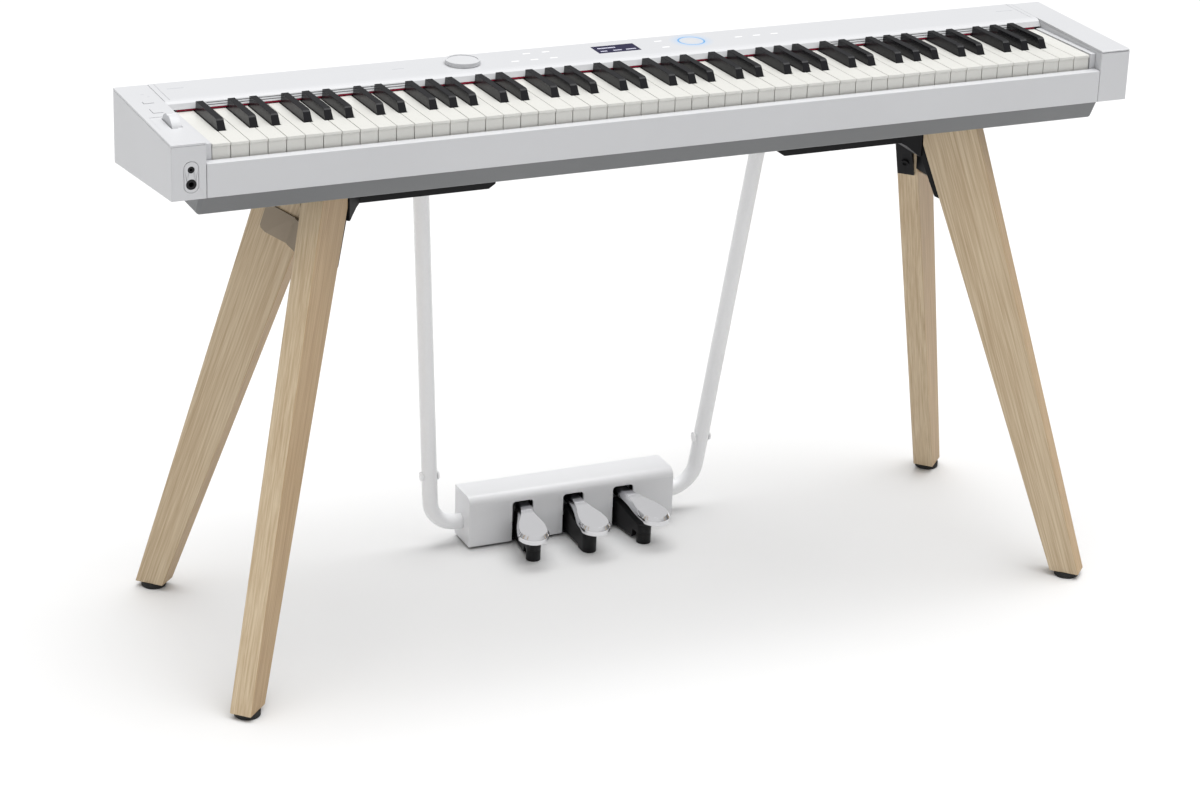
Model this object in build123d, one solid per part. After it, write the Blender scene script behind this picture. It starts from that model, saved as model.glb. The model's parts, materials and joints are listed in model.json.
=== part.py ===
from build123d import *
import os
from math import degrees, sqrt

# Digital piano on an A-frame stand with a three-pedal unit. Millimetres.
# +X runs to the treble end, +Y to the back and +Z up. The origin is on the floor,
# under the middle of the stand.

# ---------------------------------------------------------------- driving dimensions
BODY_HALF = 670.0          # half the length of the instrument
FRONT_Y = -130.0           # front face of the instrument
BACK_Y = 112.0             # back face
TOP_Z = 739.7              # top of the end caps and the control panel
CASE_Z = 640.0             # underside of the grey lower case
SLIP_BOTTOM = 668.6        # lower edge of the white front
BLOCK_BACK_BOTTOM = 641.6  # the end blocks reach lower at the back
WALL = 3.0                 # moulded wall thickness

BLOCK_INNER = 625.8        # inner face of each end block
SEAM = 0.4                 # visible joint between neighbouring mouldings

KEY_PITCH = 23.665         # one white key to the next
KEY_SHIFT = 1.4            # the row of keys sits a little towards the treble end
WHITE_COUNT = 52
KEY_GAP = 0.9
KEY_DEPTH = 21.5           # height of a key from its top to its underside
KEY_TILT = 1.6             # degrees that the resting keys slope down to the back
KEY_FRONT = (-114.7, 731.0)   # y and z of the front top edge of the white keys
KEY_LIP = 1.5
BLACK_START = 51.0         # from the white key's front to the black key's front
BLACK_HEIGHT = 13.2
BLACK_RUN = 8.5            # how far the sloping front of a black key leans back
BLACK_BASE = 10.6
BLACK_TOP = 9.4
BLACK_GAP = 1.0
KEY_VISIBLE = 141.0        # length of a key in front of the panel's wall
PIVOT = (193.0, -14.0)     # key pivot, from the front top edge of the white keys
KEY_LENGTH = 199.0
PIVOT_R = 3.0
PIVOT_CLEAR = 0.08

LEG_TOP_Z = CASE_Z
LEG_BOTTOM_Z = 8.0
LEG_TOP = (443.0, 49.2)    # middle of a leg's section at its top
LEG_BOTTOM = (602.4, 200.2)
LEG_TOP_WIDTH = 85.2
LEG_BOTTOM_WIDTH = 41.0
LEG_THICK = 29.5
LEG_CUT_Z = 602.0          # the inner edge is vertical above this height
GLIDE_R = 17.0

ARM_INNER = 213.0
ARM_OUTER = 400.0
ARM_HALF = 20.0
ARM_BOTTOM = 600.0

TUBE_R = 11.0
PEDAL_PITCH = 77.5
HOUSING_HALF = 157.5
HOUSING_Y = (156.0, 210.0)
HOUSING_Z = (4.0, 78.4)
SLOT_WIDTH = 31.6
SLOT_SHIFT = 1.2           # the openings sit a little to the treble side
SLOT_TOP = 64.0
PEDAL_PIVOT = (200.0, 53.0)
PEDAL_FAN = 12.3           # degrees that the outer pedals turn outwards
SUPPORT_FAN = 7.5


# ---------------------------------------------------------------- shape helpers
def block(x0, x1, y0, y1, z0, z1):
    """A box between two corners."""
    middle = Pos((x0 + x1) / 2, (y0 + y1) / 2, (z0 + z1) / 2)
    return middle * Box(x1 - x0, y1 - y0, z1 - z0)


def outline(points):
    return make_face(Polyline(*points, close=True))


def prism_x(points, x0, x1):
    """A (y, z) outline drawn out along X."""
    return Pos(x0, 0, 0) * extrude(Plane.YZ * outline(points), amount=x1 - x0)


def prism_y(points, y0, y1):
    """An (x, z) outline drawn out along Y."""
    return Pos(0, y1, 0) * extrude(Plane.XZ * outline(points), amount=y1 - y0)


def prism_z(points, z0, z1):
    """An (x, y) outline drawn out along Z."""
    return Pos(0, 0, z0) * extrude(outline(points), amount=z1 - z0)


def rod(radius, start, end):
    """A straight round bar between two points."""
    a, b = Vector(*start), Vector(*end)
    plane = Plane(origin=a, z_dir=(b - a).normalized())
    return extrude(plane * Circle(radius), amount=(b - a).length)


def both_sides(shape):
    """A piece and its mirror image across the middle of the stand, front and back."""
    return shape, mirror(shape, about=Plane.XZ)


def save(name, *solids):
    """Write one node, made of one or more separate solids."""
    pieces = [s for shape in solids for s in shape.solids()]
    shape = pieces[0] if len(pieces) == 1 else Compound(children=pieces)
    shape.label = name
    export_step(shape, f"parts/{name}.step")


def both(shape):
    """A piece and its mirror image at the other end of the piano."""
    return shape, mirror(shape, about=Plane.YZ)


# ---------------------------------------------------------------- the instrument's casing
CAP_THICK = 3.0
BLOCK_TOP = TOP_Z - CAP_THICK


def end_block():
    """The hollow white block at the treble end, open at the top."""
    side = [(FRONT_Y, SLIP_BOTTOM), (BACK_Y, BLOCK_BACK_BOTTOM), (BACK_Y, BLOCK_TOP), (FRONT_Y, BLOCK_TOP)]
    rise = WALL + 0.2
    hollow = [
        (FRONT_Y + WALL, SLIP_BOTTOM + rise),
        (BACK_Y - WALL, BLOCK_BACK_BOTTOM + rise),
        (BACK_Y - WALL, TOP_Z),
        (FRONT_Y + WALL, TOP_Z),
    ]
    shell = prism_x(side, BLOCK_INNER, BODY_HALF)
    return shell - prism_x(hollow, BLOCK_INNER + WALL, BODY_HALF - WALL)


def end_cap():
    return block(BLOCK_INNER, BODY_HALF, FRONT_Y, BACK_Y, BLOCK_TOP, TOP_Z)


# Controls on the bass end block: a pitch wheel, two buttons and the headphone sockets.
CONTROL_X = -646.5
WHEEL_X = -641.8
WHEEL_Y = -44.0
WHEEL_R = 24.0
WHEEL_WIDTH = 12.0
WHEEL_AXIS_Z = TOP_Z - 13.2
AXLE_R = 2.5
AXLE_HALF = 10.5
POST_FOOT = 661.0
WELL = (13.6, 45.0)
DISH = (-663.0, -69.0, -18.5, 1.0)   # finger dish beside the wheel: x, two y values, depth
BUTTONS = {"power_button": (40.0, 8.0), "function_button": (4.5, 17.0)}   # y and depth
BUTTON_WIDTH = 12.5
BUTTON_GAP = 0.3
BUTTON_FLANGE = 1.5
JACK_X = -645.0
JACK_Z = {"small": 706.5, "large": 688.0}
JACK_HOLE = {"small": 1.8, "large": 3.25}
JACK_BARREL = {"small": 4.2, "large": 6.5}
JACK_LENGTH = {"small": 15.0, "large": 30.0}
PLATE_R = 9.0
PLATE_DEPTH = 1.6
PLATE_REACH = 10.5
PLATE_Z = (JACK_Z["small"] + JACK_Z["large"]) / 2


def stadium(radius, reach, y0, y1):
    """An upright slot shape on the front of the bass block."""
    shape = block(JACK_X - radius, JACK_X + radius, y0, y1, PLATE_Z - reach, PLATE_Z + reach)
    for z in (PLATE_Z - reach, PLATE_Z + reach):
        shape += rod(radius, (JACK_X, y0, z), (JACK_X, y1, z))
    return shape


def jack_barrel(size, radius, y0, y1):
    return rod(radius, (JACK_X, y0, JACK_Z[size]), (JACK_X, y1, JACK_Z[size]))


def bass_block():
    shell = mirror(end_block(), about=Plane.YZ)
    shell -= stadium(PLATE_R + 0.3, PLATE_REACH, FRONT_Y - 1, FRONT_Y + PLATE_DEPTH)
    for size in JACK_HOLE:
        shell -= jack_barrel(size, JACK_BARREL[size] + 0.1, FRONT_Y - 1, FRONT_Y + WALL + 1)
    # Two posts carry the axle of the pitch wheel.
    for side in (-1, 1):
        inner = WHEEL_X + side * (WHEEL_WIDTH / 2 + 0.9)
        outer = WHEEL_X + side * (WHEEL_WIDTH / 2 + 4.9)
        shell += block(
            min(inner, outer), max(inner, outer), WHEEL_Y - 6, WHEEL_Y + 6, POST_FOOT, WHEEL_AXIS_Z + 6
        )
    return shell - wheel_rod(AXLE_R + 0.05, AXLE_HALF + 1)


def wheel_rod(radius, half, rise=0.0):
    """A round bar along the pitch wheel's axis, or a little above it."""
    z = WHEEL_AXIS_Z + rise
    return rod(radius, (WHEEL_X - half, WHEEL_Y, z), (WHEEL_X + half, WHEEL_Y, z))


def button_block(name, grow, z0, z1):
    y, deep = BUTTONS[name]
    wide = BUTTON_WIDTH / 2 + grow
    return block(CONTROL_X - wide, CONTROL_X + wide, y - deep / 2 - grow, y + deep / 2 + grow, z0, z1)


def bass_cap():
    """The top of the bass block, open for the wheel and the buttons, with a finger dish."""
    cap = mirror(end_cap(), about=Plane.YZ)
    x, y0, y1, depth = DISH
    cap -= block(x, WHEEL_X, y0, y1, TOP_Z - depth, TOP_Z + 1)
    cap -= block(
        WHEEL_X - WELL[0] / 2, WHEEL_X + WELL[0] / 2,
        WHEEL_Y - WELL[1] / 2, WHEEL_Y + WELL[1] / 2, BLOCK_TOP - 1, TOP_Z + 1,
    )
    for name in BUTTONS:
        cap -= button_block(name, BUTTON_GAP, BLOCK_TOP - 1, TOP_Z + 1)
    return cap


def pitch_wheel():
    """A wheel on its own axle, standing out of its well, with a thumb groove across the rim."""
    half = WHEEL_WIDTH / 2
    groove_r = 4.0
    wheel = wheel_rod(WHEEL_R, half) + wheel_rod(AXLE_R, AXLE_HALF)
    return wheel - wheel_rod(groove_r, half + 1, WHEEL_R + groove_r - 1.6)


def panel_button(name):
    """A push button with a flange that stops it under the cap."""
    cap = button_block(name, 0.0, BLOCK_TOP - 2.0, TOP_Z + 0.7)
    return cap + button_block(name, BUTTON_FLANGE, BLOCK_TOP - 3.5, BLOCK_TOP - 1.5)


def jack_plate():
    plate = stadium(PLATE_R, PLATE_REACH, FRONT_Y + 0.3, FRONT_Y + PLATE_DEPTH)
    for size in JACK_HOLE:
        plate -= jack_barrel(size, JACK_BARREL[size] + 0.1, FRONT_Y - 1, FRONT_Y + WALL)
    return plate


def headphone_jack(size):
    """A socket barrel that runs back into the block, blind at its far end."""
    start = FRONT_Y + 0.6
    barrel = jack_barrel(size, JACK_BARREL[size], start, start + JACK_LENGTH[size] + 2)
    return barrel - jack_barrel(size, JACK_HOLE[size], start - 1, start + JACK_LENGTH[size])


SLIP_TOP = 712.5
SLIP_BACK = KEY_FRONT[0] - 2.0


def key_slip():
    """The white front strip, with a ledge that runs back to the keys."""
    section = [
        (FRONT_Y, SLIP_BOTTOM), (FRONT_Y, SLIP_TOP), (SLIP_BACK, SLIP_TOP), (SLIP_BACK, SLIP_TOP - WALL),
        (FRONT_Y + WALL, SLIP_TOP - WALL), (FRONT_Y + WALL, SLIP_BOTTOM),
    ]
    return prism_x(section, -BLOCK_INNER + SEAM, BLOCK_INNER - SEAM)


LOWER_HALF = 632.5
LOWER_FRONT = (-122.0, -107.0)   # front of the lower case at its top and at its floor
LOWER_BACK = 108.0
LOWER_TOP = SLIP_BOTTOM - 0.3
LOWER_ROUND = 5.0
GRILLE_X = 430.0
GRILLE_Y = 30.0


def lower_case():
    """The grey tray under the keys, with a speaker grille near each end."""
    section = [
        (LOWER_FRONT[0], LOWER_TOP), (LOWER_FRONT[1], CASE_Z), (LOWER_BACK, CASE_Z), (LOWER_BACK, LOWER_TOP),
    ]
    inside = [
        (LOWER_FRONT[0] + WALL, LOWER_TOP + 1), (LOWER_FRONT[1] + WALL, CASE_Z + WALL),
        (LOWER_BACK - WALL, CASE_Z + WALL), (LOWER_BACK - WALL, LOWER_TOP + 1),
    ]
    tray = prism_x(section, -LOWER_HALF, LOWER_HALF)
    rim = tray.faces().sort_by(Axis.Z)[-1].edges()
    tray = fillet([edge for edge in tray.edges() if edge not in rim], LOWER_ROUND)
    tray -= prism_x(inside, -LOWER_HALF + WALL, LOWER_HALF - WALL)
    # The end blocks stand lower than the tray's rim at the back, so the rim is cut to clear them.
    slope = (SLIP_BOTTOM - BLOCK_BACK_BOTTOM) / (BACK_Y - FRONT_Y)
    under_block = [
        (FRONT_Y - 5, SLIP_BOTTOM - 0.3 + 5 * slope), (BACK_Y + 5, BLOCK_BACK_BOTTOM - 0.3 - 5 * slope),
        (BACK_Y + 5, LOWER_TOP + 5), (FRONT_Y - 5, LOWER_TOP + 5),
    ]
    for clearance in both(prism_x(under_block, BLOCK_INNER - SEAM, BODY_HALF)):
        tray -= clearance
    for side in (-1, 1):
        for step in range(-3, 4):
            x = side * GRILLE_X + step * 14.0
            tray -= block(x - 1.5, x + 1.5, GRILLE_Y - 24, GRILLE_Y + 24, CASE_Z - 1, CASE_Z + WALL + 1)
    return tray


WALL_FOOT = 28.0
LIP_Y = 43.0
SLIT_Z = (732.2, 734.7)
SLIT_X = (300.0, 574.0)
KNOB = (-214.0, 76.0)
KNOB_R = 23.0
KNOB_HEIGHT = 5.5
DISPLAY = (5.0, 79.0, 61.0, 31.0)
RING = (116.0, 81.0)
RING_R = 18.5
GROOVE_X = 618.0           # a fine line across the panel near each end


def control_panel():
    """The white top behind the keys, with a leaning wall and speaker slits in it."""
    under = TOP_Z - WALL
    section = [
        (WALL_FOOT, 730.4), (WALL_FOOT + 4.0, 737.0), (LIP_Y - 6.0, 739.1), (LIP_Y, TOP_Z), (BACK_Y, TOP_Z),
        (BACK_Y, under), (LIP_Y - 4.0, under), (WALL_FOOT + 7.0, 735.0), (WALL_FOOT + 4.0, 730.4),
    ]
    panel = prism_x(section, -BLOCK_INNER + SEAM, BLOCK_INNER - SEAM)
    for z in SLIT_Z:
        for x in (-SLIT_X[1], SLIT_X[0]):
            panel -= block(x, x + SLIT_X[1] - SLIT_X[0], WALL_FOOT - 2, WALL_FOOT + 9, z, z + 1.0)
    x, y, wide, deep = DISPLAY
    panel -= block(x - wide / 2, x + wide / 2, y - deep / 2, y + deep / 2, under - 1, TOP_Z + 1)
    panel -= rod(RING_R, (*RING, TOP_Z - 1.0), (*RING, TOP_Z + 1)) - rod(
        RING_R - 2.0, (*RING, TOP_Z - 1.0), (*RING, TOP_Z + 1)
    )
    panel -= rod(4.0, (*KNOB, under - 1), (*KNOB, TOP_Z + 1))
    for groove in both(block(GROOVE_X - 0.3, GROOVE_X + 0.3, LIP_Y - 1, BACK_Y + 1, TOP_Z - 0.6, TOP_Z + 1)):
        panel -= groove
    return panel


def display_window():
    x, y, wide, deep = DISPLAY
    gap = 0.1
    return block(
        x - wide / 2 + gap, x + wide / 2 - gap, y - deep / 2 + gap, y + deep / 2 - gap, TOP_Z - 2.5, TOP_Z
    )


def touch_ring():
    """The light guide round the touch pad, flush with the panel."""
    outer = rod(RING_R - 0.1, (*RING, TOP_Z - 1.0), (*RING, TOP_Z))
    return outer - rod(RING_R - 1.9, (*RING, TOP_Z - 2.0), (*RING, TOP_Z + 1))


def volume_knob():
    """A broad flat dial with a dished top and a short spindle."""
    base = TOP_Z + 0.5
    knob = rod(KNOB_R, (*KNOB, base), (*KNOB, base + KNOB_HEIGHT))
    knob -= rod(KNOB_R - 3.0, (*KNOB, base + KNOB_HEIGHT - 1.2), (*KNOB, base + KNOB_HEIGHT + 1))
    return knob + rod(3.5, (*KNOB, TOP_Z - 5.0), (*KNOB, base + 1))


SOCKET_Z = 712.0
# Each socket: place along the back, bore radius and bore depth.
REAR_SOCKETS = [(-160.0, 2.75, 10.0), (-110.0, 4.5, 9.0), (-60.0, 3.25, 20.0), (-20.0, 3.25, 20.0)]


def rear_panel():
    """The white back, with openings for its sockets."""
    panel = block(
        -BLOCK_INNER + SEAM, BLOCK_INNER - SEAM, BACK_Y - WALL, BACK_Y, LOWER_TOP + SEAM, TOP_Z - WALL - SEAM
    )
    for x, radius, _ in REAR_SOCKETS:
        panel -= rod(radius + 1.6, (x, BACK_Y - 5, SOCKET_Z), (x, BACK_Y + 1, SOCKET_Z))
    return panel


def rear_sockets():
    """Power inlet, pedal socket and two line sockets, each a lined blind hole."""
    sockets = []
    for x, radius, depth in REAR_SOCKETS:
        body = rod(radius + 1.5, (x, BACK_Y - 0.4 - depth - 2, SOCKET_Z), (x, BACK_Y - 0.4, SOCKET_Z))
        sockets.append(body - rod(radius, (x, BACK_Y - 0.4 - depth, SOCKET_Z), (x, BACK_Y + 1, SOCKET_Z)))
    return sockets


# ---------------------------------------------------------------- the keyboard
KEY_FRAME = Pos(0, KEY_FRONT[0], KEY_FRONT[1]) * Rot(-KEY_TILT, 0, 0)
KEYS_LEFT = KEY_SHIFT - WHITE_COUNT * KEY_PITCH / 2
KEYS_RIGHT = KEY_SHIFT + WHITE_COUNT * KEY_PITCH / 2
NOTE_NAMES = ["c", "c_sharp", "d", "d_sharp", "e", "f", "f_sharp", "g", "g_sharp", "a", "a_sharp", "b"]
# From the joint between two white keys to the middle of the black key over it.
BLACK_OFFSET = {"c_sharp": -0.8, "d_sharp": 3.9, "f_sharp": -2.0, "g_sharp": 1.6, "a_sharp": 5.2}
FIRST_NOTE = 9             # the lowest key is an A
KEY_COUNT = 88


def keyboard_layout():
    """The middle of every key along X, as (name, middle) from the bass end up."""
    keys = []
    white = 0
    for number in range(KEY_COUNT):
        name = NOTE_NAMES[(FIRST_NOTE + number) % 12]
        if name in BLACK_OFFSET:
            keys.append((name, KEYS_LEFT + white * KEY_PITCH + BLACK_OFFSET[name]))
        else:
            keys.append((name, KEYS_LEFT + (white + 0.5) * KEY_PITCH))
            white += 1
    return keys


def pivot_slot(half_width):
    """The round-topped slot under a key's tail that sits over the pivot bar."""
    y, z = PIVOT
    radius = PIVOT_R + PIVOT_CLEAR
    half = half_width + 1
    shaft = rod(radius, (-half, y, z), (half, y, z))
    return shaft + block(-half, half, y - radius, y + radius, -KEY_DEPTH - 1, z)


def white_key(left, right):
    """A white key about its own middle, cut back on the sides where a black key stands.

    left and right are the sides of its tail, measured from the key's middle.
    """
    half = (KEY_PITCH - KEY_GAP) / 2
    side = [
        (0, 0), (0, -3.0), (KEY_LIP, -4.5), (KEY_LIP, -KEY_DEPTH),
        (KEY_LENGTH, -KEY_DEPTH), (KEY_LENGTH, -6.0),
        (KEY_VISIBLE + 10, -6.0), (KEY_VISIBLE + 3, 0),
    ]
    key = prism_x(side, -half, half)
    notch = BLACK_START - BLACK_GAP
    if left > -half:
        key -= block(-half - 1, left, notch, KEY_LENGTH + 1, -KEY_DEPTH - 1, 1)
    if right < half:
        key -= block(right, half + 1, notch, KEY_LENGTH + 1, -KEY_DEPTH - 1, 1)
    return key - pivot_slot(half)


def black_key():
    """A black key about its own middle: a tapered top with a sloping front, on a straight lever."""
    base, top = BLACK_BASE / 2, BLACK_TOP / 2
    side = [
        (BLACK_START, -KEY_DEPTH), (BLACK_START, 0), (BLACK_START + 0.76 * BLACK_RUN, BLACK_HEIGHT - 2.2),
        (BLACK_START + BLACK_RUN, BLACK_HEIGHT - 0.6), (BLACK_START + BLACK_RUN + 2.6, BLACK_HEIGHT),
        (KEY_VISIBLE - 0.6, BLACK_HEIGHT), (KEY_VISIBLE - 0.6, -6.0), (KEY_LENGTH, -6.0),
        (KEY_LENGTH, -KEY_DEPTH),
    ]
    key = prism_x(side, -base, base)
    above = BLACK_HEIGHT + 1
    taper = [(base, 0), (base + 1, 0), (base + 1, above), (top, above), (top, BLACK_HEIGHT)]
    for shaving in both(prism_y(taper, BLACK_START - 1, KEY_LENGTH)):
        key -= shaving
    return key - pivot_slot(base)


def key_groups():
    """All keys sorted into the twelve notes of the octave."""
    layout = keyboard_layout()
    half = (KEY_PITCH - KEY_GAP) / 2
    reach = BLACK_BASE / 2 + BLACK_GAP
    sharp = black_key()
    made = {}
    groups = {name: [] for name in NOTE_NAMES}
    for number, (name, middle) in enumerate(layout):
        if name in BLACK_OFFSET:
            groups[name].append(KEY_FRAME * Pos(middle, 0, 0) * sharp)
            continue
        left, right = -half, half
        if number > 0 and layout[number - 1][0] in BLACK_OFFSET:
            left = round(layout[number - 1][1] + reach - middle, 3)
        if number < KEY_COUNT - 1 and layout[number + 1][0] in BLACK_OFFSET:
            right = round(layout[number + 1][1] - reach - middle, 3)
        if (left, right) not in made:
            made[(left, right)] = white_key(left, right)
        groups[name].append(KEY_FRAME * Pos(middle, 0, 0) * made[(left, right)])
    return groups


def key_end_fillers():
    """The narrow steps between the last keys and the end blocks."""
    section = [(0, 1.6), (0, -KEY_DEPTH), (KEY_VISIBLE + 0.2, -KEY_DEPTH), (KEY_VISIBLE + 0.2, 1.6)]
    bass = prism_x(section, -BLOCK_INNER + 0.2, KEYS_LEFT - 0.8)
    treble = prism_x(section, KEYS_RIGHT + 0.8, BLOCK_INNER - 0.2)
    return KEY_FRAME * bass, KEY_FRAME * treble


BED_Z = (688.0, 691.0)


def key_bed():
    """The frame that carries the keys: a ribbed plate across the whole keyboard."""
    half = BLOCK_INNER - 1.0
    plate = block(-half, half, -118, 100, *BED_Z)
    for y in (-116.0, -40.0, 94.0):
        plate += block(-half, half, y, y + 4, LOWER_TOP + 1, BED_Z[0])
    for step in range(-4, 5):
        x = step * 150.0
        plate += block(x - 2, x + 2, -116, 96, LOWER_TOP + 1, BED_Z[0])
    return plate


def key_pivot_rail():
    """A round bar on a thin web: the keys' slotted tails rock on the bar."""
    y, z = PIVOT
    foot = -37.0
    section = [
        (y - 1.5, z), (y - 1.5, foot + 3), (y - 10, foot + 3), (y - 10, foot), (y + 10, foot),
        (y + 10, foot + 3), (y + 1.5, foot + 3), (y + 1.5, z),
    ]
    rail = prism_x(section, KEYS_LEFT, KEYS_RIGHT) + rod(PIVOT_R, (KEYS_LEFT, y, z), (KEYS_RIGHT, y, z))
    return KEY_FRAME * rail - block(-BODY_HALF, BODY_HALF, 0, 200, 600, BED_Z[1])


def key_stop_felt():
    """Felt strips that the keys land on, in front and at the back."""
    front = block(KEYS_LEFT, KEYS_RIGHT, -108, -94, BED_Z[1], 698.4)
    back = block(KEYS_LEFT, KEYS_RIGHT, 50, 62, BED_Z[1], 700.0)
    return front, back


def felt_strip():
    """The red felt between the key tops and the foot of the panel's wall."""
    section = [
        (WALL_FOOT + 0.4, 727.9), (WALL_FOOT + 0.4, 730.4),
        (WALL_FOOT + 3.6, 730.4), (WALL_FOOT + 3.6, 727.9),
    ]
    return prism_x(section, KEYS_LEFT + 0.5, KEYS_RIGHT - 0.5)


# ---------------------------------------------------------------- electronics
def circuit_boards():
    """The contact board under the keys, the panel board and the main board."""
    contact = block(KEYS_LEFT, KEYS_RIGHT, -8, 40, BED_Z[1], BED_Z[1] + 1.6)
    panel = block(-60, 200, 50, 104, 731.0, 732.6) - rod(4.2, (*KNOB, 725), (*KNOB, 740))
    main = block(-190, 40, 50, 92, 650.0, 651.6)
    posts = [block(x - 2, x + 2, 69, 73, CASE_Z + WALL, 650.0) for x in (-180.0, -75.0, 30.0)]
    for post in posts:
        main += post
    for x in (-50.0, 70.0, 190.0):
        panel += block(x - 1.5, x + 1.5, 100, 103, 732.6, TOP_Z - WALL)
    return contact, panel, main


def speaker_driver(x):
    """An oval driver facing down through the grille in the lower case."""
    floor = CASE_Z + WALL
    oval = Ellipse(60, 30)
    ring = Pos(x, GRILLE_Y, floor) * extrude(oval - Ellipse(52, 24), amount=4)
    cone = Pos(x, GRILLE_Y, floor + 2) * extrude(Ellipse(52.5, 24.5), amount=2)
    magnet = rod(19, (x, GRILLE_Y, floor + 4), (x, GRILLE_Y, floor + 20))
    return ring + cone + magnet


# ---------------------------------------------------------------- the stand
DIAGONAL = 1 / sqrt(2)


def leg_section(middle, width):
    """The rectangle of a leg's section, its width along the 45 degree plane."""
    x, y = middle
    return Pos(x, y, 0) * Rot(0, 0, 45) * Rectangle(width, LEG_THICK)


def leg_spot(along, z):
    """A point of the leg's middle plane: its distance along the 45 degree line and its height."""
    lean = (LEG_TOP_Z - z) / (LEG_TOP_Z - LEG_BOTTOM_Z)
    offset = (LEG_TOP[0] - LEG_TOP[1]) * (1 - lean) + (LEG_BOTTOM[0] - LEG_BOTTOM[1]) * lean
    return offset + along * DIAGONAL, along * DIAGONAL, z


def inner_edge(z):
    """How far along the 45 degree line the leg's inner edge is at a height."""
    lean = (LEG_TOP_Z - z) / (LEG_TOP_Z - LEG_BOTTOM_Z)
    top = LEG_TOP[1] / DIAGONAL - LEG_TOP_WIDTH / 2
    bottom = LEG_BOTTOM[1] / DIAGONAL - LEG_BOTTOM_WIDTH / 2
    return top + (bottom - top) * lean


LEG_PLANE_X = LEG_TOP[0] - LEG_TOP[1]
CUT_ALONG = inner_edge(LEG_CUT_Z)


def leg_prism(points, half_thickness):
    """A plate in the leg's plane: points are (distance along the 45 degree line, height)."""
    plane = Plane(origin=(LEG_PLANE_X, 0, 0), x_dir=(DIAGONAL, DIAGONAL, 0), z_dir=(DIAGONAL, -DIAGONAL, 0))
    return extrude(plane * outline(points), amount=half_thickness, both=True)


def leg():
    """The treble back leg: a tapered blade with a vertical cut at its inner top edge."""
    bottom = Pos(0, 0, LEG_BOTTOM_Z) * leg_section(LEG_BOTTOM, LEG_BOTTOM_WIDTH)
    top = Pos(0, 0, LEG_TOP_Z) * leg_section(LEG_TOP, LEG_TOP_WIDTH)
    blade = loft([bottom, top], ruled=True)
    cut = [(CUT_ALONG, LEG_CUT_Z), (CUT_ALONG, LEG_TOP_Z + 5), (-20, LEG_TOP_Z + 5), (-20, LEG_CUT_Z)]
    return blade - leg_prism(cut, 60)


def glide():
    """A round foot under the leg, a little narrower at the floor."""
    x, y = LEG_BOTTOM
    pad = rod(GLIDE_R, (x, y, 0), (x, y, LEG_BOTTOM_Z))
    return chamfer(pad.faces().sort_by(Axis.Z)[0].edges(), 1.2)


FLANGE = 6.5               # thickness of the bracket's flange on a leg
FLANGE_LOW = 528.0
FLANGE_HALF = 11.5


def bracket_half():
    """Half of the treble bracket: an arched plate with a flange along the back leg's inner edge."""
    low = inner_edge(FLANGE_LOW)
    arch = [
        (CUT_ALONG, LEG_TOP_Z), (CUT_ALONG, LEG_CUT_Z), (low, FLANGE_LOW), (low - FLANGE, FLANGE_LOW + 2),
        (CUT_ALONG - FLANGE - 1, LEG_CUT_Z - 6), (CUT_ALONG - 14, LEG_CUT_Z + 2), (20, LEG_CUT_Z + 5),
        (-8, LEG_CUT_Z + 6), (-8, LEG_TOP_Z),
    ]
    plate = leg_prism(arch, FLANGE_HALF)
    keep = block(ARM_OUTER - 10, BODY_HALF, 0, 200, 500, LEG_TOP_Z)
    return plate & keep


HEAD_LOW = 585.0            # underside of the bracket's head, between the legs
CROSS_LOW = 542.0           # underside of the cross web behind the legs' inner edges


def bracket():
    """The black bracket that ties the two treble legs to the arm."""
    half = bracket_half()
    # The head widens from the arm to its corners by the legs, then narrows to the neck.
    plan = [
        (ARM_OUTER - 10, 20), (410.8, 40.4), (433.2, 18),
        (433.2, -18), (410.8, -40.4), (ARM_OUTER - 10, -20),
    ]
    head = prism_z(plan, HEAD_LOW, LEG_TOP_Z)
    # The head's underside rises towards the arm.
    rise = [(380, 540), (ARM_OUTER - 10, ARM_BOTTOM), (396, 597), (404, 590), (409, HEAD_LOW), (409, 540)]
    head -= prism_y(rise, -60, 60)
    neck = block(431, 446, -16, 16, HEAD_LOW, LEG_TOP_Z)
    cross = block(446, 451.5, -29.8, 29.8, CROSS_LOW, LEG_TOP_Z)
    return half + mirror(half, about=Plane.XZ) + head + neck + cross


def arm():
    """A steel channel under the case, open at the top and sloped at its inner end."""
    side = [
        (ARM_INNER - 9, ARM_BOTTOM + 6), (ARM_INNER, ARM_BOTTOM), (ARM_OUTER - 10, ARM_BOTTOM),
        (ARM_OUTER - 10, LEG_TOP_Z), (ARM_INNER - 9, LEG_TOP_Z),
    ]
    beam = prism_y(side, -ARM_HALF, ARM_HALF)
    inner = ARM_HALF - WALL
    return beam - block(ARM_INNER - 6, ARM_OUTER - 13, -inner, inner, ARM_BOTTOM + 7, LEG_TOP_Z + 1)


# The spacer's tab on a leg, as (distance along the 45 degree line, height), from its bend outwards.
TAB = [(347.3, 568.4), (358.5, 531.0), (391.5, 542.4), (397.6, 547.6), (398.6, 552.0), (390.6, 576.4),
       (387.0, 580.6), (381.5, 580.3)]
TAB_OFFSET = LEG_PLANE_X * DIAGONAL      # the line's distance is measured from the leg plane's foot
TAB_THICK = 3.0


def spacer_tab():
    """A flat tab against the treble back leg, on its side towards the front leg."""
    side = Vector(DIAGONAL, -DIAGONAL, 0)
    plane = Plane(
        origin=Vector(LEG_PLANE_X, 0, 0) + side * (LEG_THICK / 2), x_dir=(DIAGONAL, DIAGONAL, 0), z_dir=side
    )
    points = [(along - TAB_OFFSET, z) for along, z in TAB]
    return extrude(plane * outline(points), amount=TAB_THICK)


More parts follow.
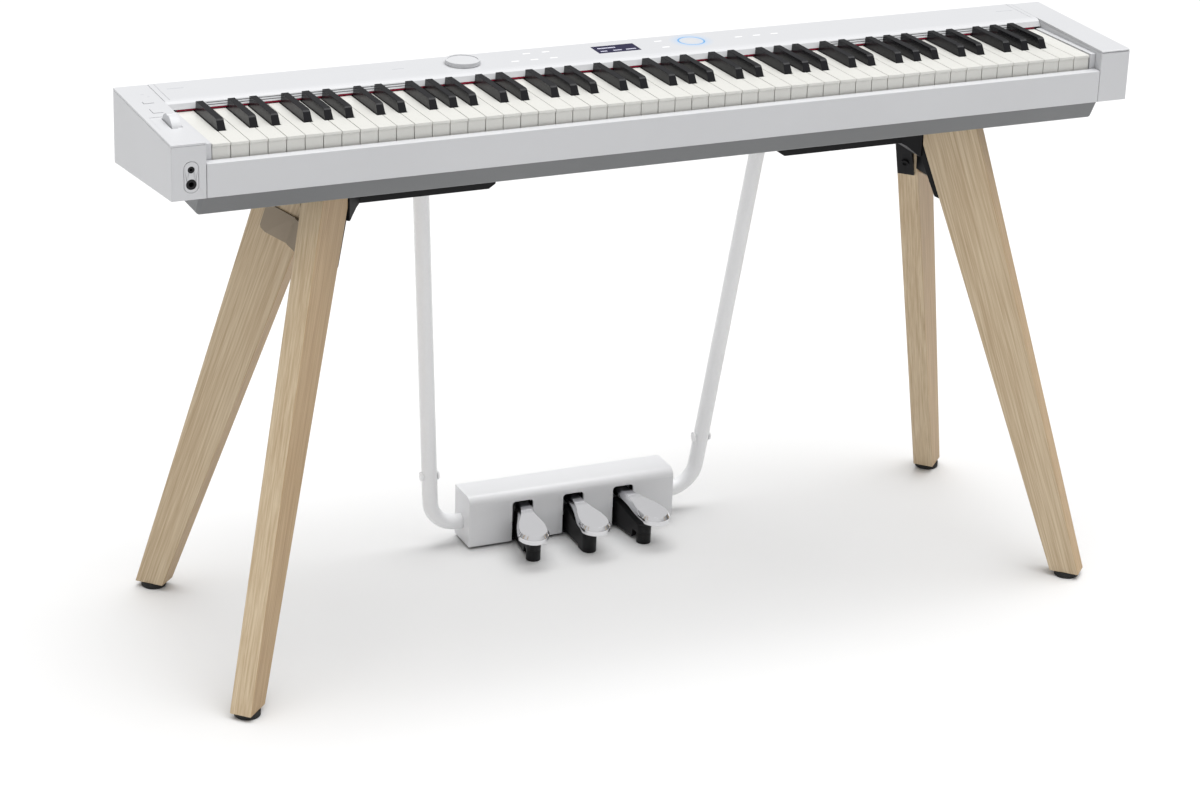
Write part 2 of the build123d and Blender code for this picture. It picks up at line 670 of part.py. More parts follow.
def spacer_plate():
    """The bent plate that spreads a pair of legs: a cross piece with a tab on each leg."""
    cross = [(453.0, 568.4), (460.8, 531.0), (464.8, 531.0), (457.0, 568.4)]
    plate = prism_y(cross, -46, 46)
    for tab in both_sides(spacer_tab()):
        plate += tab
    for one in both_sides(leg()):
        plate -= one
    return plate


def stand_bolt():
    """The bolt that holds the bracket's flange to a leg."""
    z = 552.0
    slope = (inner_edge(FLANGE_LOW) - CUT_ALONG) / (LEG_CUT_Z - FLANGE_LOW)
    length = sqrt(1 + slope * slope)
    outward = Vector(-DIAGONAL / length, -DIAGONAL / length, -slope / length)
    seat = Vector(*leg_spot(inner_edge(z), z)) + outward * (FLANGE - 1.0)
    head = rod(5.5, tuple(seat), tuple(seat + outward * 4.5))
    socket = extrude(Plane(origin=seat + outward * 2.5, z_dir=outward) * RegularPolygon(3.0, 6), amount=3)
    return head - socket - bracket_half()


# ---------------------------------------------------------------- the pedal unit
TUBE_PATH = [(150.0, 188.0, 32.0), (202.6, 188.0, 32.0), (252.2, 123.9, 595.0), (254.5, 96.0, 626.0)]
TUBE_BENDS = [42.0, 30.0]
TUBE_SCREW_Z = 113.0


def pedal_tube():
    """The treble tube: out of the housing's side, bent up, and forward under the case."""
    path = FilletPolyline(*TUBE_PATH, radius=TUBE_BENDS)
    start = Vector(*TUBE_PATH[0])
    section = Plane(origin=start, z_dir=(1, 0, 0)) * Circle(TUBE_R)
    bore = Plane(origin=start, z_dir=(1, 0, 0)) * Circle(TUBE_R - 1.6)
    return sweep(section, path=path) - sweep(bore, path=path)


def tube_axis(z):
    """The middle of the tube's straight run at a height."""
    low, high = Vector(*TUBE_PATH[1]), Vector(*TUBE_PATH[2])
    return low + (high - low) * ((z - low.Z) / (high.Z - low.Z))


def tube_screws():
    """Low round screw heads on both sides of the tube, where its two lengths join."""
    middle = tube_axis(TUBE_SCREW_Z)
    heads = []
    for side in (-1, 1):
        start = middle + Vector(side * (TUBE_R - 0.8), 0, 0)
        head = rod(7.0, tuple(start), tuple(start + Vector(side * 2.6, 0, 0)))
        heads.append(head - pedal_tube())
    return heads


def tube_mount():
    """The foot plate that holds the tube's upper end to the underside of the case."""
    x, y, z = TUBE_PATH[3]
    plate = block(x - 24, x + 24, y - 24, LOWER_BACK - 5, CASE_Z - 4, CASE_Z)
    collar = block(x - 15, x + 15, y - 14, LOWER_BACK - 5, z - 4, CASE_Z - 4)
    way_in = Vector(*TUBE_PATH[3]) - (Vector(*TUBE_PATH[3]) - Vector(*TUBE_PATH[2])) * 0.8
    return plate + collar - rod(TUBE_R + 0.1, tuple(way_in), (x, y, z))


def pedal_housing():
    """The white cover, open underneath, with three slots in its front."""
    (y0, y1), (z0, z1) = HOUSING_Y, HOUSING_Z
    section = make_face(
        Line((y0, z0), (y0, z1 - 12)) + TangentArc((y0, z1 - 12), (y0 + 12, z1), tangent=(0, 1))
        + Line((y0 + 12, z1), (y1, z1)) + Line((y1, z1), (y1, z0)) + Line((y1, z0), (y0, z0))
    )
    cover = Pos(-HOUSING_HALF, 0, 0) * extrude(Plane.YZ * section, amount=2 * HOUSING_HALF)
    cover -= block(
        -HOUSING_HALF + WALL, HOUSING_HALF - WALL, y0 + WALL, y1 - WALL, z0 - 1, z1 - 12
    )
    cover -= block(
        -HOUSING_HALF + WALL, HOUSING_HALF - WALL, y0 + 12, y1 - WALL, z1 - 13, z1 - WALL
    )
    for step in (-1, 0, 1):
        cover -= slot_block(step, y0 - 1, y0 + 8)
    for side in (-1, 1):
        x, y, z = TUBE_PATH[0]
        cover -= rod(TUBE_R + 0.2, (side * (HOUSING_HALF - 8), y, z), (side * (HOUSING_HALF + 8), y, z))
    return cover - rod(3.0, (40, y1 - 8, 30), (40, y1 + 2, 30))


def slot_block(step, y0, y1):
    """The upright opening for one pedal, rounded at its top corners."""
    middle = step * PEDAL_PITCH + SLOT_SHIFT
    half = SLOT_WIDTH / 2
    opening = block(middle - half, middle + half, y0, y1, HOUSING_Z[0] - 2, SLOT_TOP)
    corners = opening.edges().filter_by(Axis.Y).group_by(Axis.Z)[-1]
    return fillet(corners, 5.0)


SUPPORT_HALF = 10.5
SUPPORT_SHIFT = 1.8         # the supports sit a little to the treble side
FOOT_Y = 99.0
FOOT_R = 10.3
FOOT_TOP = 15.6
STEM_R = 3.0
STEM_TOP = 21.0
PEDAL_SHIFT = 3.4
SHAFT_R = 3.0


def turned(step, shift, degrees):
    """The fan of the outer pedals, turned about the middle of their slots."""
    y = HOUSING_Y[0]
    return Pos(step * PEDAL_PITCH + shift, y, 0) * Rot(0, 0, step * degrees) * Pos(0, -y, 0)


def pedal_support(step):
    """The black arm under a pedal, which reaches forward to the floor with a round end."""
    floor = 16.0 if step else 0.0
    front, back = FOOT_Y + 13.0, HOUSING_Y[0] + 10
    side = [
        (back, 44), (150, 40), (FOOT_Y, 28), (FOOT_Y, floor),
        (front, floor), (front + 2, 5), (130, 5), (back, 6),
    ]
    support = prism_x(side, -SUPPORT_HALF, SUPPORT_HALF)
    support += rod(SUPPORT_HALF, (0, FOOT_Y, floor), (0, FOOT_Y, 28))
    if step:
        support -= rod(STEM_R + 0.1, (0, FOOT_Y, 10), (0, FOOT_Y, STEM_TOP + 1))
    return turned(step, SUPPORT_SHIFT, SUPPORT_FAN) * support


def pedal_chassis():
    """The black frame inside the cover, with the three supports and the pivot's cheeks."""
    (y0, y1), (z0, _) = HOUSING_Y, HOUSING_Z
    inner = HOUSING_HALF - WALL - 0.3
    frame = block(-inner, inner, y0 + WALL + 0.3, y1 - WALL - 0.3, z0, z0 + 3)
    for x in (-115.0, -38.75, 38.75, 115.0):
        frame += block(x - 3, x + 3, y0 + 12, y1 - WALL - 0.5, z0, PEDAL_PIVOT[1] + 8)
    for step in (-1, 0, 1):
        frame += pedal_support(step)
    y, z = PEDAL_PIVOT
    return frame - rod(SHAFT_R, (-130, y, z), (130, y, z))


PEDAL_TOP = (50.0, 59.0)   # height of the top face near the tip and at the slot
PEDAL_LOW_Y = 74.0         # where the lower of those heights is
PEDAL_TIP_Y = 62.0
PEDAL_NECK_HALF = 11.6
PEDAL_TIP_HALF = 22.2
PEDAL_BEVEL = 5.0          # drop of the bevel round the top face
PEDAL_LIP = 12.0           # depth of the front edge
PEDAL_THICK = 9.0


def pedal_outline(neck_half, tip_half, tip):
    """Half widths at the neck and the tip make a narrow tail that swells to a rounded end."""
    neck, back = HOUSING_Y[0] - 4, PEDAL_PIVOT[0] + 4
    waist = neck_half + 0.34 * (tip_half - neck_half)
    shoulder = tip + 22
    return make_face(
        Line((-neck_half, back), (-neck_half, neck))
        + Spline((-neck_half, neck), (-waist, 124), (-tip_half, shoulder), tangents=[(0, -1), (0, -1)])
        + ThreePointArc((-tip_half, shoulder), (0, tip), (tip_half, shoulder))
        + Spline((tip_half, shoulder), (waist, 124), (neck_half, neck), tangents=[(0, 1), (0, 1)])
        + Line((neck_half, neck), (neck_half, back))
        + Line((neck_half, back), (-neck_half, back))
    )


def pedal(step):
    """A chrome pedal: a slim neck that widens to a rounded tip, bevelled round its top face."""
    slot = HOUSING_Y[0]
    body = pedal_outline(PEDAL_NECK_HALF, PEDAL_TIP_HALF, PEDAL_TIP_Y)
    face = pedal_outline(PEDAL_NECK_HALF - 4.6, PEDAL_TIP_HALF - 3, PEDAL_TIP_Y + 4)
    top = loft([Pos(0, 0, -PEDAL_BEVEL) * body, face], ruled=True)
    side = [
        (PEDAL_TIP_Y - 1, -PEDAL_BEVEL), (slot + 60, -PEDAL_BEVEL), (slot + 60, -PEDAL_LIP),
        (slot, -PEDAL_THICK),
        (PEDAL_TIP_Y + 20, -PEDAL_THICK), (PEDAL_TIP_Y + 16, -PEDAL_LIP), (PEDAL_TIP_Y - 1, -PEDAL_LIP),
    ]
    under = extrude(Pos(0, 0, -30) * body, amount=40) & prism_x(side, -40, 40)
    # The flat pedal is tilted about the slot, so its tip is lower.
    pitch = (PEDAL_TOP[1] - PEDAL_TOP[0]) / (slot - PEDAL_LOW_Y)
    tilt = Pos(0, slot, PEDAL_TOP[1]) * Rot(degrees(pitch), 0, 0) * Pos(0, -slot, 0)
    shape = turned(step, PEDAL_SHIFT, PEDAL_FAN) * tilt * (top + under)
    y, z = PEDAL_PIVOT
    return shape - rod(SHAFT_R + 0.05, (-200, y, z), (200, y, z))


def pivot_shaft():
    y, z = PEDAL_PIVOT
    return rod(SHAFT_R, (-118, y, z), (118, y, z))


def adjuster_foot(step):
    """The round screw foot at the front of an outer support, with a grip notch."""
    x, y, _ = (turned(step, SUPPORT_SHIFT, SUPPORT_FAN) * Pos(0, FOOT_Y, 0)).position
    foot = rod(FOOT_R, (x, y, 0), (x, y, FOOT_TOP)) + rod(STEM_R, (x, y, FOOT_TOP - 1), (x, y, STEM_TOP))
    return foot - block(x - 2, x + 2, y + 7, y + 12, 4, FOOT_TOP + 1)


# ---------------------------------------------------------------- write the nodes
def write_parts():
    os.makedirs("parts", exist_ok=True)
    save("lower_case", lower_case())
    save("control_panel", control_panel())
    save("rear_panel", rear_panel())
    save("rear_sockets", *rear_sockets())
    save("bass_end_block", bass_block())
    save("treble_end_block", end_block())
    save("bass_end_cap", bass_cap())
    save("treble_end_cap", end_cap())
    save("key_slip", key_slip())
    save("key_end_fillers", *key_end_fillers())
    save("key_bed", key_bed())
    save("key_pivot_rail", key_pivot_rail())
    save("key_stop_felt", *key_stop_felt())
    save("felt_strip", felt_strip())
    save("circuit_boards", *circuit_boards())
    save("speaker_drivers", speaker_driver(-GRILLE_X), speaker_driver(GRILLE_X))
    save("display_window", display_window())
    save("touch_ring", touch_ring())
    save("volume_knob", volume_knob())
    save("pitch_wheel", pitch_wheel())
    for name in BUTTONS:
        save(name, panel_button(name))
    save("jack_plate", jack_plate())
    save("headphone_jacks", headphone_jack("small"), headphone_jack("large"))
    for name, keys in key_groups().items():
        save(f"keys_{name}", *keys)

    back_leg = leg()
    front_leg = mirror(back_leg, about=Plane.XZ)
    save("leg_glides", *[g for pad in both(glide()) for g in both_sides(pad)])
    pairs = {
        "back_leg": back_leg, "front_leg": front_leg,
        "arm": arm(), "bracket": bracket(), "pedal_tube": pedal_tube(),
    }
    for name, shape in pairs.items():
        treble, bass = both(shape)
        save(f"treble_{name}", treble)
        save(f"bass_{name}", bass)
    save("spacer_plates", *both(spacer_plate()))
    save("stand_bolts", *[b for bolt in both(stand_bolt()) for b in both_sides(bolt)])
    save("tube_screws", *[s for screw in tube_screws() for s in both(screw)])
    save("tube_mounts", *both(tube_mount()))
    save("pedal_housing", pedal_housing())
    save("pedal_chassis", pedal_chassis())
    save("pedal_pivot_shaft", pivot_shaft())
    for step, name in {-1: "left", 0: "middle", 1: "right"}.items():
        save(f"{name}_pedal", pedal(step))
    save("left_adjuster_foot", adjuster_foot(-1))
    save("right_adjuster_foot", adjuster_foot(1))


write_parts()
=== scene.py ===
import json
import math

import bmesh
import bpy
from mathutils import Matrix, Vector


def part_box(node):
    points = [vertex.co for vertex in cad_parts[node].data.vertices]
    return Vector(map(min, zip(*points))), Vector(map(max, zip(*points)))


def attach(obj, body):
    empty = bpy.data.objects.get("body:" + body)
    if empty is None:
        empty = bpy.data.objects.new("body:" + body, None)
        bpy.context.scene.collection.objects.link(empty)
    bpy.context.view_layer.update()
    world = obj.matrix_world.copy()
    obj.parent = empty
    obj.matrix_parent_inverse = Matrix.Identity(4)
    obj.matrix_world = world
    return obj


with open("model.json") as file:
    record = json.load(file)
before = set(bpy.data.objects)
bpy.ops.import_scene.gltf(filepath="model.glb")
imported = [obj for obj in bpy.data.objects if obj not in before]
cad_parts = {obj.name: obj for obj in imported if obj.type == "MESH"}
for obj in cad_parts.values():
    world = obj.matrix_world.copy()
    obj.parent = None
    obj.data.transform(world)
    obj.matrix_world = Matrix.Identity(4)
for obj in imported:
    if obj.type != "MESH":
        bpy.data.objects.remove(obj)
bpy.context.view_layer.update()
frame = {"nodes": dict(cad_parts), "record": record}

scene = bpy.context.scene
BODY = "piano_and_stand"


# ---------------------------------------------------------------- camera and light
CAMERA_PLACE = (-1.7779, -3.7554, 1.9979)
CAMERA_YAW, CAMERA_PITCH, CAMERA_ROLL = 24.89, 22.587, 2.179
CAMERA_LENS = 99.77


def make_camera():
    """The camera looks along yaw and pitch, then rolls about its own line of sight."""
    yaw, pitch, roll = (math.radians(a) for a in (CAMERA_YAW, CAMERA_PITCH, CAMERA_ROLL))
    reach = math.cos(pitch)
    forward = Vector((math.sin(yaw) * reach, math.cos(yaw) * reach, -math.sin(pitch)))
    level = Vector((math.cos(yaw), -math.sin(yaw), 0))
    up = level.cross(forward)
    right = level * math.cos(roll) + up * math.sin(roll)
    up = up * math.cos(roll) - level * math.sin(roll)
    data = bpy.data.cameras.new("camera")
    data.lens = CAMERA_LENS
    data.sensor_width = 36.0
    camera = bpy.data.objects.new("camera", data)
    scene.collection.objects.link(camera)
    turn = Matrix((right, up, -forward)).transposed().to_4x4()
    camera.matrix_world = Matrix.Translation(CAMERA_PLACE) @ turn
    scene.camera = camera


SKY_LOW, SKY_HIGH = 0.07, 0.70      # strength of the room near the horizon and overhead
SKY_RISE = (0.15, 0.58)             # height of the direction over which it brightens
SUN_POWER = 2.85
SUN_SPREAD = 60.0                   # degrees across: a large soft source overhead
SUN_FROM = (0.10, -0.06, 1.0)
FLOOR_HALF = 300.0
FLOOR_TONE = (0.77, 0.77, 0.77)


def make_studio():
    """A pale floor under one large soft light, in a room that is bright above and dim low down."""
    world = bpy.data.worlds.new("studio")
    world.use_nodes = True
    world.node_tree.nodes["Background"].inputs["Color"].default_value = (1, 1, 1, 1)
    nodes, links = world.node_tree.nodes, world.node_tree.links
    direction = nodes.new("ShaderNodeTexCoord").outputs["Generated"]
    split = nodes.new("ShaderNodeSeparateXYZ")
    rise = nodes.new("ShaderNodeMapRange")
    rise.inputs["From Min"].default_value, rise.inputs["From Max"].default_value = SKY_RISE
    rise.inputs["To Min"].default_value, rise.inputs["To Max"].default_value = SKY_LOW, SKY_HIGH
    links.new(direction, split.inputs["Vector"])
    links.new(split.outputs["Z"], rise.inputs["Value"])
    links.new(rise.outputs["Result"], nodes["Background"].inputs["Strength"])
    scene.world = world
    scene.view_settings.view_transform = "Standard"
    data = bpy.data.lights.new("overhead", "SUN")
    data.energy = SUN_POWER
    data.angle = math.radians(SUN_SPREAD)
    sun = bpy.data.objects.new("overhead", data)
    scene.collection.objects.link(sun)
    sun.matrix_world = Vector(SUN_FROM).to_track_quat("Z", "Y").to_matrix().to_4x4()

    mesh = bpy.data.meshes.new("floor")
    signs = ((-1, -1), (1, -1), (1, 1), (-1, 1))
    corners = [(x * FLOOR_HALF, y * FLOOR_HALF, 0) for x, y in signs]
    mesh.from_pydata(corners, [], [(0, 1, 2, 3)])
    floor = bpy.data.objects.new("floor", mesh)
    scene.collection.objects.link(floor)
    material = bpy.data.materials.new("floor_white")
    material.use_nodes = True
    shader = material.node_tree.nodes["Principled BSDF"]
    shader.inputs["Base Color"].default_value = (*FLOOR_TONE, 1)
    shader.inputs["Roughness"].default_value = 0.6
    mesh.materials.append(material)


make_camera()
make_studio()


# ---------------------------------------------------------------- materials
class Surface:
    """One node material, with short calls for the nodes that the surfaces share."""

    def __init__(self, name, colour, roughness):
        self.material = bpy.data.materials.new(name)
        self.material.use_nodes = True
        self.tree = self.material.node_tree
        self.shader = self.tree.nodes["Principled BSDF"]
        self.shader.inputs["Base Color"].default_value = (*colour, 1)
        self.shader.inputs["Roughness"].default_value = roughness
        self.place = self.tree.nodes.new("ShaderNodeTexCoord").outputs["Object"]

    def node(self, kind, **settings):
        made = self.tree.nodes.new(kind)
        for key, value in settings.items():
            setattr(made, key, value)
        return made

    def link(self, source, target):
        self.tree.links.new(source, target)

    def noise(self, scale, detail=3.0, where=None):
        made = self.node("ShaderNodeTexNoise")
        made.inputs["Scale"].default_value = scale
        made.inputs["Detail"].default_value = detail
        self.link(where or self.place, made.inputs["Vector"])
        return made.outputs["Fac"]

    def ramp(self, value, stops):
        """A colour ramp; each stop is (position, colour)."""
        made = self.node("ShaderNodeValToRGB")
        ramp = made.color_ramp
        ramp.elements[0].position, ramp.elements[0].color = stops[0][0], (*stops[0][1], 1)
        ramp.elements[1].position, ramp.elements[1].color = stops[-1][0], (*stops[-1][1], 1)
        for position, colour in stops[1:-1]:
            ramp.elements.new(position).color = (*colour, 1)
        self.link(value, made.inputs["Fac"])
        return made.outputs["Color"]

    def span(self, value, low, high):
        """Turns 0 to 1 into low to high."""
        made = self.node("ShaderNodeMapRange")
        made.inputs["To Min"].default_value = low
        made.inputs["To Max"].default_value = high
        self.link(value, made.inputs["Value"])
        return made.outputs["Result"]

    def share(self, value, low, high):
        """Turns low to high into 0 to 1."""
        made = self.node("ShaderNodeMapRange")
        made.inputs["From Min"].default_value = low
        made.inputs["From Max"].default_value = high
        self.link(value, made.inputs["Value"])
        return made.outputs["Result"]

    def along(self, direction, where=None):
        """How far a point, or another vector, reaches along a direction."""
        made = self.node("ShaderNodeVectorMath", operation="DOT_PRODUCT")
        self.link(where or self.place, made.inputs[0])
        made.inputs[1].default_value = direction
        return made.outputs["Value"]

    def colour(self, source):
        self.link(source, self.shader.inputs["Base Color"])

    def roughness(self, value, low, high):
        self.link(self.span(value, low, high), self.shader.inputs["Roughness"])

    def bump(self, height, distance, strength=1.0):
        made = self.node("ShaderNodeBump")
        made.inputs["Strength"].default_value = strength
        made.inputs["Distance"].default_value = distance
        self.link(height, made.inputs["Height"])
        self.link(made.outputs["Normal"], self.shader.inputs["Normal"])


def tints(colour, spread):
    """A darker and a lighter version of a colour."""
    return tuple(c * (1 - spread) for c in colour), tuple(min(c * (1 + spread), 1) for c in colour)


WHITE = (0.60, 0.605, 0.62)


def moulded(name, colour, roughness, grain=900.0, depth=0.00003, spread=0.012):
    """Satin moulded plastic: a fine spark-eroded grain and a faint cloudiness."""
    surface = Surface(name, colour, roughness)
    low, high = tints(colour, spread)
    surface.colour(surface.ramp(surface.noise(6.0), [(0.35, low), (0.65, high)]))
    fine = surface.noise(grain, 2.0)
    surface.roughness(fine, roughness - 0.04, roughness + 0.06)
    surface.bump(fine, depth)
    return surface


white_case = moulded("white_case", WHITE, 0.38)
grey_case = moulded("grey_case", (0.165, 0.17, 0.175), 0.5, grain=700.0, depth=0.00006, spread=0.05)
black_plastic = moulded("black_plastic", (0.012, 0.012, 0.013), 0.4, spread=0.1)
key_white = moulded("key_white", (0.70, 0.695, 0.66), 0.28)
key_black = moulded("key_black", (0.009, 0.009, 0.011), 0.24, spread=0.1)
felt_red = moulded("felt_red", (0.30, 0.004, 0.03), 0.95, grain=2500.0, depth=0.0003, spread=0.2)
felt_grey = moulded("felt_grey", (0.25, 0.25, 0.25), 0.95, grain=2500.0, depth=0.0003, spread=0.2)
circuit_green = moulded("circuit_green", (0.01, 0.09, 0.03), 0.4)
display_navy = moulded("display_navy", (0.010, 0.008, 0.045), 0.15)
mark_white = moulded("mark_white", (0.93, 0.93, 0.94), 0.4)
mark_grey = moulded("mark_grey", (0.52, 0.53, 0.55), 0.5)
display_mark = moulded("display_mark", (0.62, 0.62, 0.74), 0.4)
ring_blue = moulded("ring_blue", (0.13, 0.40, 0.74), 0.3)
taupe_plastic = moulded("taupe_plastic", (0.33, 0.27, 0.20), 0.6)
glide_rubber = moulded("glide_rubber", (0.012, 0.012, 0.012), 0.7, spread=0.2)
black_steel = moulded("black_steel", (0.006, 0.006, 0.007), 0.5, spread=0.2)
white_cover = moulded("white_cover", (0.80, 0.805, 0.82), 0.32)
white_steel = moulded("white_steel", (0.94, 0.945, 0.955), 0.26)
bright_steel = moulded("bright_steel", (0.45, 0.45, 0.47), 0.3)
bright_steel.shader.inputs["Metallic"].default_value = 1.0
for dark in (black_plastic, key_black, black_steel, display_navy):
    dark.shader.inputs["Specular IOR Level"].default_value = 0.2


OAK_DARK, OAK_MIDDLE, OAK_PALE = (0.49, 0.36, 0.22), (0.595, 0.465, 0.305), (0.69, 0.565, 0.395)
OAK_STRETCH = 0.018         # grain is this much finer across the leg than along it
# Leg faces that look this way get painted shade: a darker, more golden tone for the less light they
# catch.
SHADED_FACE = (0.7071, -0.7071, 0)
PAINTED_SHADE_TONE = (0.78, 0.69, 0.58)


def paint_leg_face_shade(surface, colour):
    """The faces of a leg that look to the front right are painted darker and more golden: painted shade
    where less light falls on them.
    """
    facing = surface.along(SHADED_FACE, surface.node("ShaderNodeTexCoord").outputs["Normal"])
    tone = surface.ramp(surface.share(facing, 0.35, 0.75), [(0.0, (1, 1, 1)), (1.0, PAINTED_SHADE_TONE)])
    product = surface.node("ShaderNodeVectorMath", operation="MULTIPLY")
    surface.link(colour, product.inputs[0])
    surface.link(tone, product.inputs[1])
    surface.colour(product.outputs["Vector"])


# The darker neck tone is a painted reflection of the dark slot, fading to the tip tone over the reach
# below.
SLOT_REFLECTION_TONE, TIP_TONE = (0.30, 0.30, 0.32), (0.80, 0.80, 0.82)
SLOT_REFLECTION_REACH = 0.030


def pedals_with_slot_reflection():
    """Bright plating, darker where a pedal comes out of its slot: a painted reflection of the dark slot.
    """
    surface = moulded("pedal_chrome", TIP_TONE, 0.10, grain=60.0, depth=0.000004)
    surface.shader.inputs["Metallic"].default_value = 1.0
    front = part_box("pedal_housing")[0].y
    # Painted reflection: darker towards the front of the slot.
    out = surface.share(surface.along((0, 1, 0)), front, front - SLOT_REFLECTION_REACH)
    surface.colour(surface.ramp(out, [(0.1, SLOT_REFLECTION_TONE), (0.9, TIP_TONE)]))
    return surface


pedal_chrome = pedals_with_slot_reflection()


def oak(name, along, across):
    """Pale oak with straight grain along a leg, worked out from the leg's own directions."""
    surface = Surface(name, OAK_MIDDLE, 0.5)
    along, across = Vector(along).normalized(), Vector(across)
    across = (across - along * across.dot(along)).normalized()
    third = along.cross(across)
    axes = surface.node("ShaderNodeCombineXYZ")
    for slot, axis in enumerate((across, third, along * OAK_STRETCH)):
        surface.link(surface.along(axis), axes.inputs[slot])
    grain = axes.outputs["Vector"]
    broad = surface.noise(45.0, 2.0, grain)
    lines = surface.noise(420.0, 3.0, grain)
    pores = surface.noise(1200.0, 2.0, grain)
    mixed = surface.span(broad, 0.0, 0.2)
    for layer, weight in ((lines, 0.9), (pores, 0.5)):
        add = surface.node("ShaderNodeMath", operation="MULTIPLY_ADD")
        surface.link(layer, add.inputs[0])
        add.inputs[1].default_value = weight
        surface.link(mixed, add.inputs[2])
        mixed = add.outputs["Value"]
    tones = [(0.1, OAK_DARK), (0.5, OAK_MIDDLE), (0.9, OAK_PALE)]
    # The grain colour then gets painted shade on the faces that look to the front right.
    paint_leg_face_shade(surface, surface.ramp(surface.share(mixed, 0.55, 1.06), tones))
    surface.roughness(lines, 0.42, 0.6)
    surface.bump(pores, 0.00008)
    return surface


# GLOW is painted light: the blue of the lit ring falling on the white panel round it.
GLOW = (0.46, 0.56, 0.70)
GLOW_REACH = 0.013


def blended(first, second, weight):
    return tuple(a * weight + b * (1 - weight) for a, b in zip(first, second))


def glowing_panel(name):
    """The white panel with painted light: a soft blue glow from the lit ring, painted round the ring."""
    low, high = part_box("touch_ring")
    middle, radius = (low + high) / 2, (high.x - low.x) / 2
    surface = moulded(name, WHITE, 0.36)
    flat = surface.node("ShaderNodeVectorMath", operation="MULTIPLY")
    surface.link(surface.place, flat.inputs[0])
    flat.inputs[1].default_value = (1, 1, 0)
    distance = surface.node("ShaderNodeVectorMath", operation="DISTANCE")
    surface.link(flat.outputs["Vector"], distance.inputs[0])
    distance.inputs[1].default_value = (middle.x, middle.y, 0)
    near = surface.share(distance.outputs["Value"], radius - GLOW_REACH, radius + GLOW_REACH)
    inside, outside = blended(GLOW, WHITE, 1 / 3), blended(GLOW, WHITE, 1 / 2)
    stops = [(0.0, WHITE), (0.35, inside), (0.5, GLOW), (0.65, outside), (1.0, WHITE)]
    surface.colour(surface.ramp(near, stops))
    return surface


SURFACES = {
    "white_case": white_case, "grey_case": grey_case, "black_plastic": black_plastic,
    "key_white": key_white, "key_black": key_black, "felt_red": felt_red, "felt_grey": felt_grey,
    "circuit_green": circuit_green, "display_navy": display_navy, "ring_blue": ring_blue,
    "taupe_plastic": taupe_plastic, "glide_rubber": glide_rubber, "black_steel": black_steel,
    "white_steel": white_steel, "bright_steel": bright_steel, "pedal_chrome": pedal_chrome,
}


LEG_RUN = (0.1594, 0.151, -0.632)      # from a leg's top to its foot


def leg_surface(node):
    """Oak whose grain follows the leg from its top to its foot."""
    low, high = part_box(node)
    side = 1 if high.x > 0 else -1
    face = 1 if high.y > abs(low.y) else -1
    run = (side * LEG_RUN[0], face * LEG_RUN[1], LEG_RUN[2])
    return oak(f"oak_{node}", run, (side, face, 0))


WELD_REACH = 0.00002
EDGE_ANGLE = 28.0


def round_edges(obj, width):
    """Welds the tessellated faces and rounds the sharp edges."""
    weld = obj.modifiers.new("weld", "WELD")
    weld.merge_threshold = WELD_REACH
    bevel = obj.modifiers.new("round", "BEVEL")
    bevel.width = width
    bevel.segments = 3
    bevel.limit_method = "ANGLE"
    bevel.angle_limit = math.radians(EDGE_ANGLE)
    bevel.harden_normals = True


USUAL_EDGE = 0.0005
EDGE = {"lower_case": 0.003, "key_slip": 0.0015, "pedal_housing": 0.0012, "volume_knob": 0.0012}
for end in ("bass", "treble"):
    EDGE |= {f"{end}_end_cap": 0.0022, f"{end}_end_block": 0.0014}
    EDGE |= {f"{end}_front_leg": 0.0035, f"{end}_back_leg": 0.0035}
EDGE |= {f"{side}_pedal": 0.0012 for side in ("left", "middle", "right")}

slots = {part["node"]: part["material_slot"] for part in frame["record"]["subparts"]}
for node, obj in frame["nodes"].items():
    if slots[node] == "oak":
        surface = leg_surface(node)
    elif node == "control_panel":
        surface = glowing_panel("glowing_panel")
    elif node == "pedal_housing":
        surface = white_cover
    else:
        surface = SURFACES[slots[node]]
    obj.data.materials.clear()
    obj.data.materials.append(surface.material)
    round_edges(obj, EDGE.get(node, USUAL_EDGE))


# ---------------------------------------------------------------- small pieces on the case
def add_piece(name, mesh_data, surface):
    """One extra piece that rides with the instrument."""
    mesh = bpy.data.meshes.new(name)
    bmesh.ops.recalc_face_normals(mesh_data, faces=mesh_data.faces)
    mesh_data.to_mesh(mesh)
    mesh_data.free()
    mesh.materials.append(surface.material)
    obj = bpy.data.objects.new(name, mesh)
    scene.collection.objects.link(obj)
    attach(obj, BODY)
    return obj


CORNER_STEPS = 4


def add_bar(mesh_data, x, y, z, length, width, height):
    """A flat bar with rounded ends, raised from z."""
    radius = min(length, width) * 0.49
    ring = []
    for corner, (sx, sy) in enumerate(((1, 1), (-1, 1), (-1, -1), (1, -1))):
        for step in range(CORNER_STEPS + 1):
            angle = math.radians(90 * (corner + step / CORNER_STEPS))
            u = sx * (length / 2 - radius) + radius * math.cos(angle)
            v = sy * (width / 2 - radius) + radius * math.sin(angle)
            ring.append((x + u, y + v))
    low = [mesh_data.verts.new((u, v, z)) for u, v in ring]
    high = [mesh_data.verts.new((u, v, z + height)) for u, v in ring]
    mesh_data.faces.new(low)
    mesh_data.faces.new(high)
    for i in range(len(ring)):
        j = (i + 1) % len(ring)
        mesh_data.faces.new((low[i], low[j], high[j], high[i]))


MARK_SINK, MARK_RISE = 0.0001, 0.00012      # below and above the surface that carries a mark


def bars(name, spots, surface):
    """Printed marks: each spot is (x, y, z, length, width)."""
    mesh_data = bmesh.new()
    for x, y, z, length, width in spots:
        add_bar(mesh_data, x, y, z - MARK_SINK, length, width, MARK_SINK + MARK_RISE)
    return add_piece(name, mesh_data, surface)


